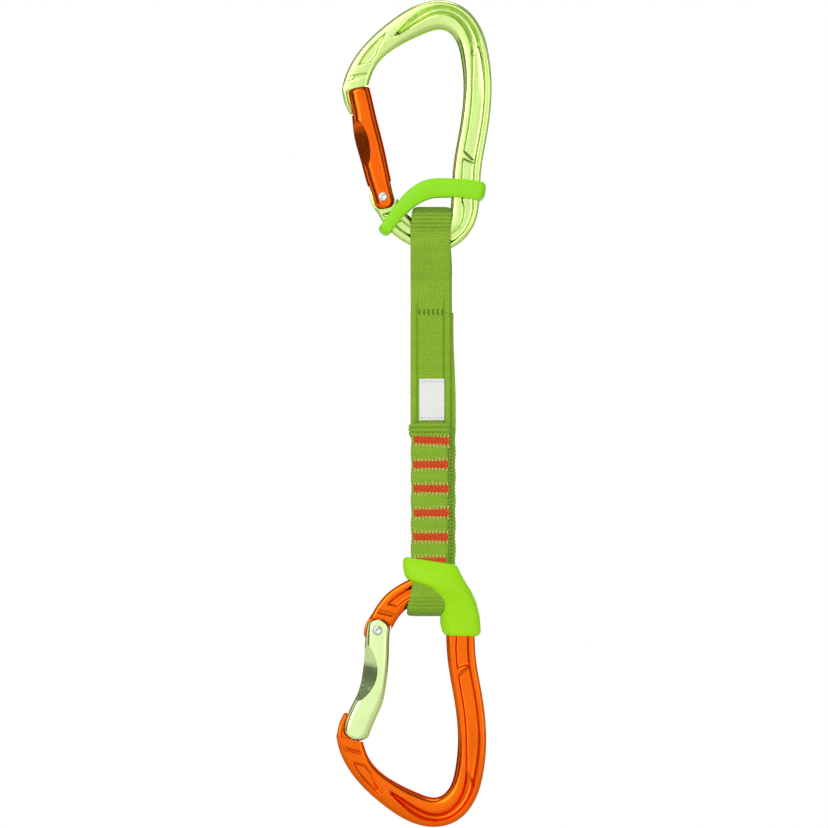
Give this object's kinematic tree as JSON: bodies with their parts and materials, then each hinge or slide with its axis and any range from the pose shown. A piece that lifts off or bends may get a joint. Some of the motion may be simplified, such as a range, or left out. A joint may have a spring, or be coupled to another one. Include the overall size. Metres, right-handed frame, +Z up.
{
  "type": "climbing quickdraw",
  "caption": "Sewn webbing sling joining a straight-gate and a bent-gate forged carabiner, with sprung gates, an elastic keeper band and a rubber keeper boot.",
  "frame": {"origin": "the hanger seat: inner top of the upper carabiner's bow, at mid depth", "axes": "+Z up along the hanging quickdraw, +X towards the spines, -Y the front face"},
  "size_m": [0.0622, 0.0162, 0.3303],
  "materials": {
    "pale_green_anodised": "anodised, glossy, pale yellow-green",
    "orange_anodised": "anodised, glossy, orange",
    "gate_orange_anodised": "anodised, glossy, orange",
    "gate_green_anodised": "anodised, satin, pale green",
    "rivet_steel": "stainless, turned and headed",
    "spring_steel": "drawn stainless wire",
    "webbing_green": "woven polyamide webbing",
    "thread_orange": "twisted polyester thread",
    "thread_white": "twisted polyester thread",
    "thread_dark": "twisted polyester thread",
    "label_white": "woven ribbon",
    "band_rubber": "moulded elastomer, glossy",
    "boot_rubber": "moulded rubber, satin"
  },
  "bodies": {
    "upper_carabiner": {"upper_frame": "pale_green_anodised", "upper_gate_rivet": "rivet_steel", "upper_keeper_band": "band_rubber", "sling_upper_eye": "webbing_green"},
    "upper_gate": {"upper_gate": "gate_orange_anodised", "upper_gate_spring": "spring_steel"},
    "upper_plunger": {"upper_gate_plunger": "rivet_steel"},
    "twisting_stretch": {"sling_twisting_stretch": "webbing_green", "marker_stitches": "thread_dark"},
    "sewn_sling": {"sling_front_strand": "webbing_green", "sling_back_strand": "webbing_green", "sling_lap": "webbing_green", "sling_lap_hem": "webbing_green", "bar_tack_1": "thread_orange", "bar_tack_2": "thread_orange", "bar_tack_3": "thread_orange", "bar_tack_4": "thread_orange", "bar_tack_5": "thread_orange", "sewn_label": "label_white", "label_stitching": "thread_white"},
    "lower_carabiner": {"lower_frame": "orange_anodised", "lower_gate_rivet": "rivet_steel", "lower_keeper_boot": "boot_rubber", "sling_lower_eye": "webbing_green", "bar_tack_6": "thread_orange"},
    "lower_gate": {"lower_gate": "gate_green_anodised", "lower_gate_spring": "spring_steel"},
    "lower_plunger": {"lower_gate_plunger": "rivet_steel"}
  },
  "joints": [
    {"name": "upper_gate_hinge", "type": "hinge", "parent": "upper_carabiner", "child": "upper_gate", "pos_m": [-0.02281, 0, -0.0668], "axis": [0, 1, 0], "range_deg": [0, 27], "stiffness_Nm_per_rad": 0.3, "springref_deg": -40.11},
    {"name": "upper_plunger_slide", "type": "slide", "parent": "upper_gate", "child": "upper_plunger", "axis": [-0.2263, 0, 0.974], "range_m": [0, 0.001], "deforming": ["upper_gate_spring"]},
    {"name": "sling_twist", "type": "hinge", "parent": "upper_carabiner", "child": "twisting_stretch", "pos_m": [-0.0039, 0, -0.1067], "axis": [0, 0, 1], "range_deg": [-60, 60], "stiffness_Nm_per_rad": 0.004},
    {"name": "sling_bend", "type": "hinge", "parent": "twisting_stretch", "child": "sewn_sling", "pos_m": [-0.0039, 0, -0.1247], "axis": [1, 0, 0], "range_deg": [-75, 75]},
    {"name": "boot_mouth_bend", "type": "hinge", "parent": "sewn_sling", "child": "lower_carabiner", "pos_m": [-0.0045, 0, -0.2079], "axis": [1, 0, 0], "range_deg": [-25, 25], "stiffness_Nm_per_rad": 0.15},
    {"name": "lower_gate_hinge", "type": "hinge", "parent": "lower_carabiner", "child": "lower_gate", "pos_m": [-0.02501, 0, -0.2401], "axis": [0, -1, 0], "range_deg": [0, 27], "stiffness_Nm_per_rad": 0.3, "springref_deg": -40.11},
    {"name": "lower_plunger_slide", "type": "slide", "parent": "lower_gate", "child": "lower_plunger", "axis": [-0.0625, 0, -0.998], "range_m": [0, 0.001], "deforming": ["lower_gate_spring"]}
  ],
  "couplings": [
    {"joint": "upper_plunger_slide", "follows": "upper_gate_hinge", "m_per_rad": 0.00212},
    {"joint": "lower_plunger_slide", "follows": "lower_gate_hinge", "m_per_rad": 0.00212}
  ]
}
